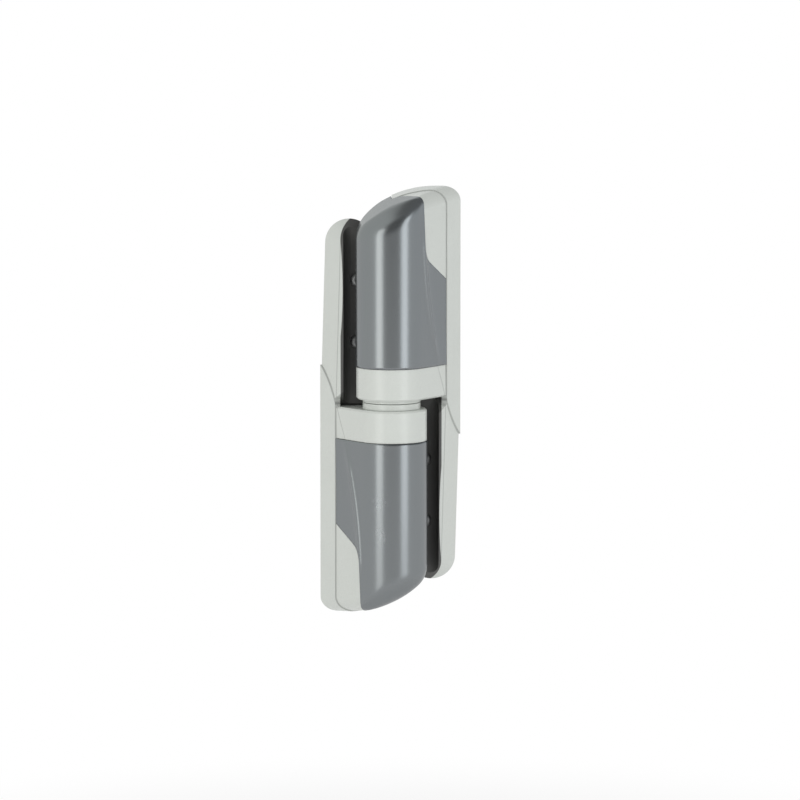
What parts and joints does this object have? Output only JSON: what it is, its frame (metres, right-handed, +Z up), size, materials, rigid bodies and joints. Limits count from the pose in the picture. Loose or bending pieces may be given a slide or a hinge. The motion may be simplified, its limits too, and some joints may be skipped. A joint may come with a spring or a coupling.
{
  "type": "cold room door hinge",
  "caption": "Surface-mounted door hinge with pale grey leaves, domed dark grey knuckle covers and a concealed vertical pin; swings a heavy insulated door.",
  "frame": {"origin": "middle of the hinge axis, half-way between the two knuckle collars", "axes": "+Z up the pin, +X to the door leaf along the wall, +Y into the wall behind the hinge"},
  "size_m": [0.082, 0.0429, 0.25],
  "materials": {
    "pale_casing": "satin",
    "dark_cover": "satin",
    "dark_liner": "matte",
    "screw_steel": "satin",
    "insert_brass": "plain",
    "pin_steel": "ground",
    "bearing_plastic": "satin"
  },
  "bodies": {
    "frame_leaf": {"frame_body": "pale_casing", "frame_base": "pale_casing", "frame_cover": "dark_cover", "frame_plate": "dark_liner", "frame_plate_screws": "screw_steel", "frame_plate_inserts": "insert_brass", "frame_base_screws": "screw_steel", "hinge_pin": "pin_steel", "pin_lock_screw": "screw_steel", "bearing_ring": "bearing_plastic"},
    "door_leaf": {"door_body": "pale_casing", "door_base": "pale_casing", "door_cover": "dark_cover", "door_plate": "dark_liner", "door_plate_screws": "screw_steel", "door_plate_inserts": "insert_brass", "door_base_screws": "screw_steel", "door_flanged_bush": "bearing_plastic", "door_upper_bush": "bearing_plastic"}
  },
  "joints": [
    {"name": "door_swing", "type": "hinge", "parent": "frame_leaf", "child": "door_leaf", "pos_m": [0, 0, 0], "axis": [0, 0, -1], "range_deg": [0, 180]}
  ]
}
